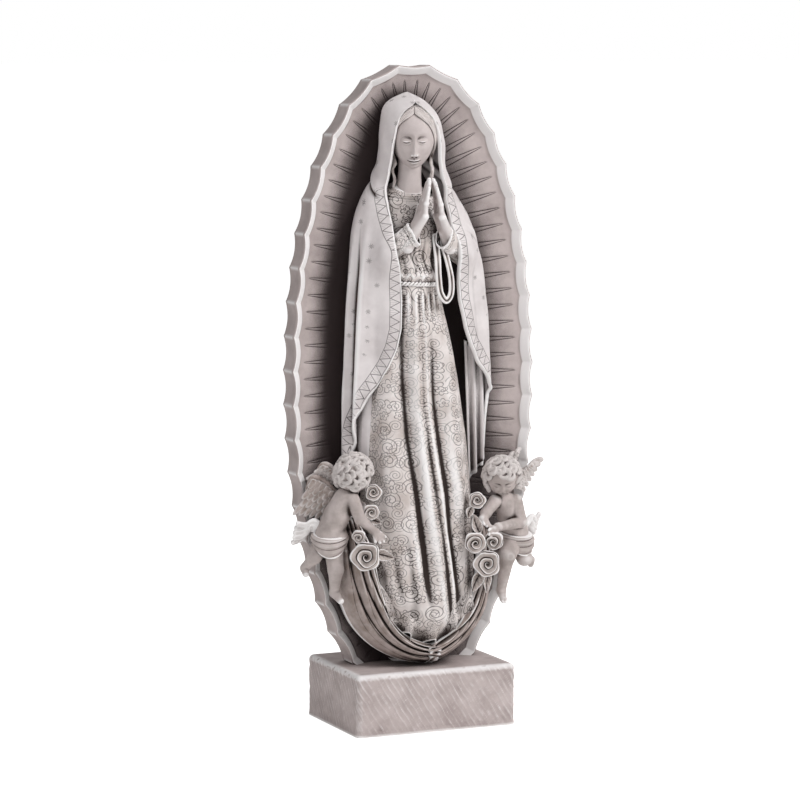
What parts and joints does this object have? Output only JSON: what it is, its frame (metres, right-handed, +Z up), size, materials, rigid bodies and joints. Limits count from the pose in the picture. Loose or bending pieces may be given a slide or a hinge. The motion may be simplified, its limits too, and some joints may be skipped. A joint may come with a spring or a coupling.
{
  "type": "garden statue",
  "caption": "Veiled praying robed figure before a scalloped oval aureole, with winged cherubs and roses at the hem, on a rectangular tooled plinth; stands as a devotional ornament.",
  "frame": {"origin": "centre of the plinth's underside, on the ground", "axes": "+Z up to the top of the aureole, -Y the way the figure faces, +X to the figure's left hand"},
  "size_m": [0.257, 0.1211, 0.5986],
  "materials": {
    "stone_plinth": "tooled cast stone, pale grey-beige, dry matt",
    "stone_aureole": "cast stone, pale grey with a dark wash in its recesses",
    "stone_figure": "smooth cast stone, pale grey with a dark wash in its recesses",
    "stone_gown": "carved cast stone with a brown wash in its folds",
    "stone_cherub": "cast stone, pale grey with a dark wash",
    "stone_flowers": "cast stone, pale grey with a dark wash",
    "plate": "moulded matt closing plate",
    "steel": "zinc-plated steel",
    "bung": "black rubber"
  },
  "bodies": {
    "root": {"aureole": "stone_aureole", "aureole_dowels": "steel", "cherub_left_body": "stone_cherub", "cherub_left_cloth": "stone_cherub", "cherub_left_head": "stone_cherub", "cherub_left_pins": "steel", "cherub_left_wing_inner": "stone_cherub", "cherub_left_wing_outer": "stone_cherub", "cherub_right_body": "stone_cherub", "cherub_right_cloth": "stone_cherub", "cherub_right_head": "stone_cherub", "cherub_right_pins": "steel", "cherub_right_wing_inner": "stone_cherub", "cherub_right_wing_outer": "stone_cherub", "figure_rod": "steel", "filler_bung": "bung", "gown": "stone_gown", "hand_left": "stone_figure", "hand_right": "stone_figure", "head": "stone_figure", "hem_swag_left": "stone_gown", "hem_swag_right": "stone_gown", "leaves_left": "stone_flowers", "leaves_right": "stone_flowers", "mantle": "stone_figure", "plinth_bottom_plate": "plate", "plinth_shell": "stone_plinth", "rod_nut": "steel", "rod_washer": "steel", "roses_left": "stone_flowers", "roses_right": "stone_flowers", "sleeve_left": "stone_figure", "sleeve_loop": "stone_figure", "sleeve_right": "stone_figure", "waist_sash": "stone_figure"}
  },
  "joints": []
}
